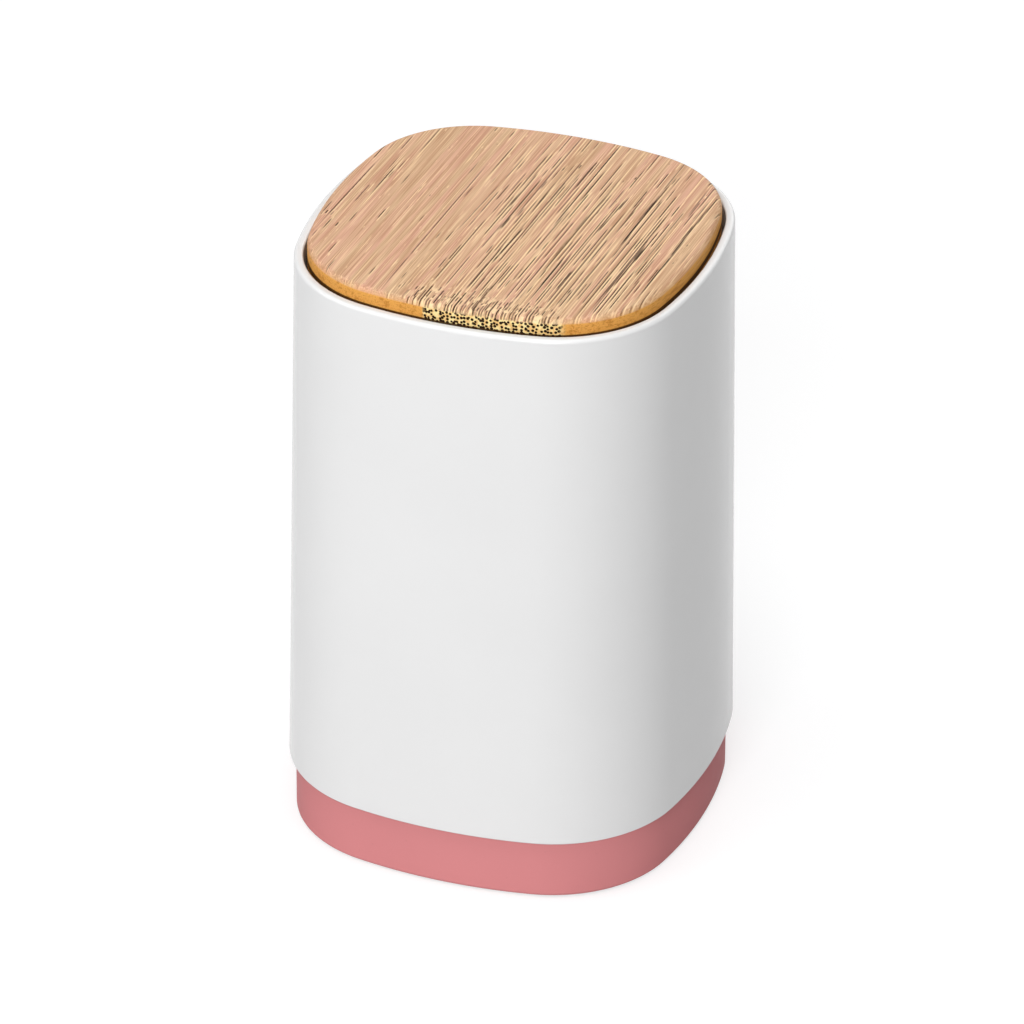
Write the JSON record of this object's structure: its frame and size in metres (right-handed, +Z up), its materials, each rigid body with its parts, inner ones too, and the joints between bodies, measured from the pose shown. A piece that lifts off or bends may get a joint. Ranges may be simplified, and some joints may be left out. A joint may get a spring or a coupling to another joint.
{
  "type": "toothpick dispenser",
  "caption": "Tabletop toothpick dispenser: a soft-square sleeve on a plinth, with a wooden lid that pops up on springs when pressed and lifts out a round toothpick cup.",
  "frame": {"origin": "on the table, under the middle of the object, in the plane of the rubber feet", "axes": "+Z up along the lid's travel; the latch is on +X and the damper on -X, and the bamboo's grain runs along Y"},
  "size_m": [0.0626, 0.0626, 0.0956],
  "materials": {
    "white_plastic": "satin white moulding",
    "pink_plastic": "satin dusty pink moulding",
    "bamboo": "fine-sanded oiled bamboo, grain along Y",
    "inner_plastic": "satin off-white moulding",
    "cup_plastic": "smooth frosted white moulding",
    "acetal": "natural acetal",
    "dark_plastic": "dark grey moulding",
    "rubber": "soft grey rubber",
    "polished_steel": "ground and polished",
    "steel": "zinc-plated",
    "spring_steel": "drawn wire and strip"
  },
  "bodies": {
    "stand": {"outer_sleeve": "white_plastic", "base_plinth": "pink_plastic", "base_cover": "pink_plastic", "cover_screw_1": "steel", "cover_screw_2": "steel", "cover_screw_3": "steel", "cover_screw_4": "steel", "foot_pad_1": "rubber", "foot_pad_2": "rubber", "foot_pad_3": "rubber", "foot_pad_4": "rubber", "guide_rod_1": "polished_steel", "guide_rod_2": "polished_steel", "rod_foot_screw_1": "steel", "rod_foot_screw_2": "steel", "rod_top_screw_1": "steel", "rod_top_screw_2": "steel", "bumper_washer_1": "rubber", "bumper_washer_2": "rubber", "lift_spring_1": "spring_steel", "lift_spring_2": "spring_steel", "well_ring": "inner_plastic", "damper_rack": "acetal", "latch_cam_plate": "acetal", "rack_screw": "steel", "cam_screw": "steel"},
    "lift": {"bamboo_lid": "bamboo", "lid_plate": "inner_plastic", "lid_screw_1": "steel", "lid_screw_2": "steel", "lid_screw_3": "steel", "lid_screw_4": "steel", "post_screw_1": "steel", "post_screw_2": "steel", "post_screw_3": "steel", "post_screw_4": "steel", "pick_cup": "cup_plastic", "lift_carriage": "inner_plastic", "cup_screw_1": "steel", "cup_screw_2": "steel", "rod_bush_1": "acetal", "rod_bush_2": "acetal", "damper_housing": "dark_plastic", "damper_screw_1": "steel", "damper_screw_2": "steel", "latch_wire": "spring_steel", "latch_leaf": "spring_steel", "leaf_screw": "steel"},
    "gear": {"damper_gear": "acetal"}
  },
  "joints": [
    {"name": "lift_slide", "type": "slide", "parent": "stand", "child": "lift", "axis": [0, 0, 1], "range_m": [-0.0025, 0.035], "deforming": ["lift_spring_1", "lift_spring_2", "latch_wire"]},
    {"name": "gear_spin", "type": "hinge", "parent": "lift", "child": "gear", "pos_m": [-0.0266, 0.002, 0.0366], "axis": [1, 0, 0], "continuous": true}
  ],
  "couplings": [
    {"joint": "gear_spin", "follows": "lift_slide", "rad_per_m": 250}
  ]
}
